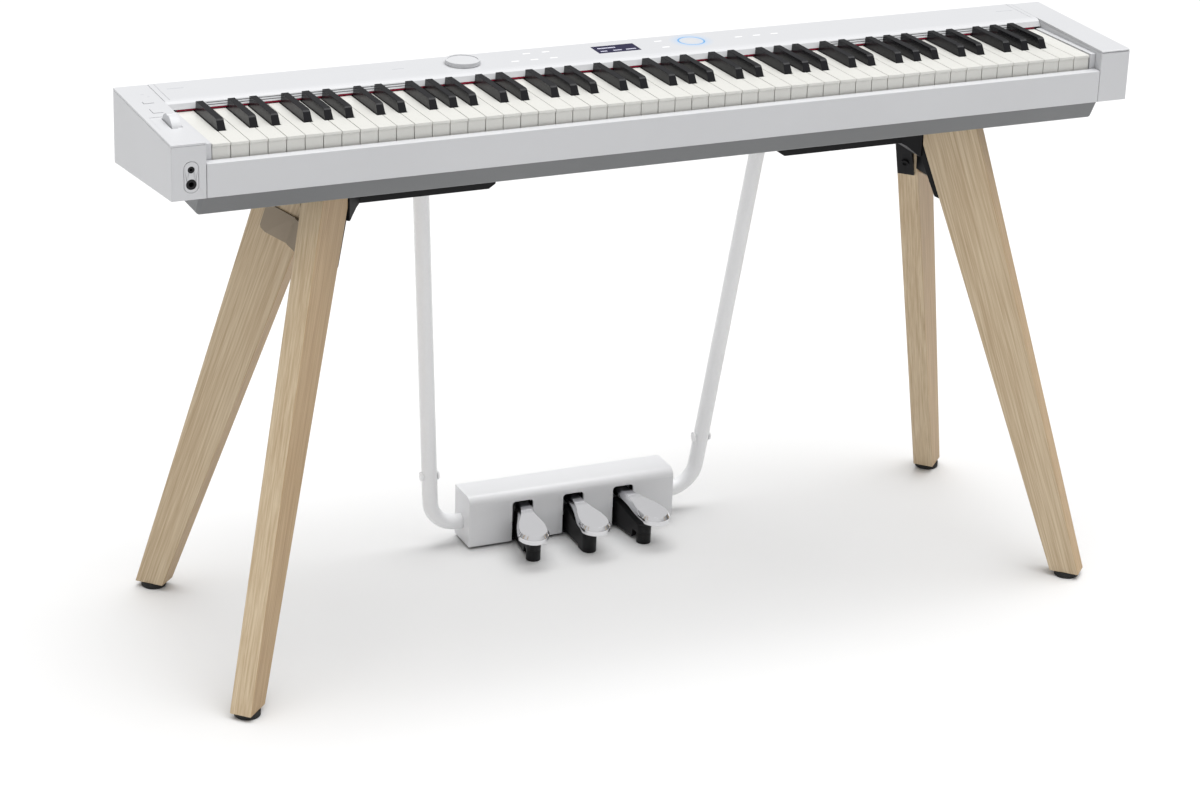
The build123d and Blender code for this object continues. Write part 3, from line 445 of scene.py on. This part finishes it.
PANEL_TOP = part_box("control_panel")[1].z
TOUCH_ROWS = (0.092, 0.0645)
TOUCH_SIZE = (0.011, 0.0028)
touch_places = [(x, TOUCH_ROWS[0]) for x in (-0.118, -0.0905, 0.072)]
touch_places += [(x, TOUCH_ROWS[1]) for x in (-0.145, -0.118, -0.0905, 0.071)]
touch_places += [(x, 0.0785) for x in (0.185, 0.212, 0.2385)]
touch_marks = [(x, y, PANEL_TOP, *TOUCH_SIZE) for x, y in touch_places]
bars("touch_marks", touch_marks, mark_white)

# Plain bars stand where a maker's lettering would be.
label_places = [(-0.597, 0.086, 0.022), (-0.302, 0.079, 0.016), (0.598, 0.082, 0.026)]
label_bars = [(x, y, PANEL_TOP, length, 0.0022) for x, y, length in label_places]
bars("label_bars", label_bars, mark_grey)

CAP_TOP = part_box("bass_end_cap")[1].z
cap_marks = [
    (-0.644, 0.073, CAP_TOP, 0.0045, 0.0012), (-0.639, 0.0625, CAP_TOP, 0.003, 0.0012),
    (-0.644, 0.044, CAP_TOP, 0.003, 0.0012), (-0.645, 0.037, CAP_TOP, 0.012, 0.0008),
]


def display_rows():
    """Two rows of small light blocks on the display, in place of its text."""
    low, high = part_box("display_window")
    width, depth = high.x - low.x, high.y - low.y
    spots = []
    for step in range(9):
        size = 0.0024 if step % 3 else 0.0033
        spots.append((low.x + width * (0.12 + 0.047 * step), low.y + depth * 0.66, high.z, size, 0.0042))
    for group, count in enumerate((4, 5, 6)):
        for step in range(count):
            x = low.x + width * (0.10 + 0.30 * group + 0.040 * step)
            spots.append((x, low.y + depth * 0.25, high.z, 0.0023, 0.0036))
    return spots


bars("display_marks", display_rows(), display_mark)
bars("cap_marks", cap_marks, mark_grey)

SCREW_SIDES = 24
SCREW_PROFILE = ((1.0, 0.0), (1.0, 0.25), (0.86, 0.5), (0.55, 0.62), (0.42, 0.62), (0.40, 0.2))
SOCKET = 0.5                # the profile inside this share of the radius is hexagonal
SCREW_RADIUS = 0.0042
SCREW_ROWS = (-0.06, 0.088)
SCREW_PITCH = 0.185


def add_screw(mesh_data, x, y, z, radius):
    """A domed screw head that faces down, with a hexagonal socket."""
    rings = []
    for share, drop in SCREW_PROFILE:
        ring = []
        for step in range(SCREW_SIDES):
            angle = 2 * math.pi * step / SCREW_SIDES
            reach = radius * share
            if share < SOCKET:
                sector = math.pi / 3
                reach *= math.cos(sector / 2) / math.cos(angle % sector - sector / 2)
            u, v = reach * math.cos(angle), reach * math.sin(angle)
            ring.append(mesh_data.verts.new((x + u, y + v, z - radius * drop)))
        rings.append(ring)
    for inner, outer in zip(rings[1:], rings):
        for i in range(SCREW_SIDES):
            j = (i + 1) % SCREW_SIDES
            mesh_data.faces.new((outer[i], outer[j], inner[j], inner[i]))
    mesh_data.faces.new(rings[0])
    mesh_data.faces.new(rings[-1])


def case_screws():
    """Two rows of screws that hold the lower case from underneath."""
    mesh_data = bmesh.new()
    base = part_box("lower_case")[0].z
    for y in SCREW_ROWS:
        for step in range(-3, 4):
            add_screw(mesh_data, step * SCREW_PITCH, y, base + 0.0002, SCREW_RADIUS)
    return add_piece("case_screws", mesh_data, SURFACES["black_steel"])


case_screws()
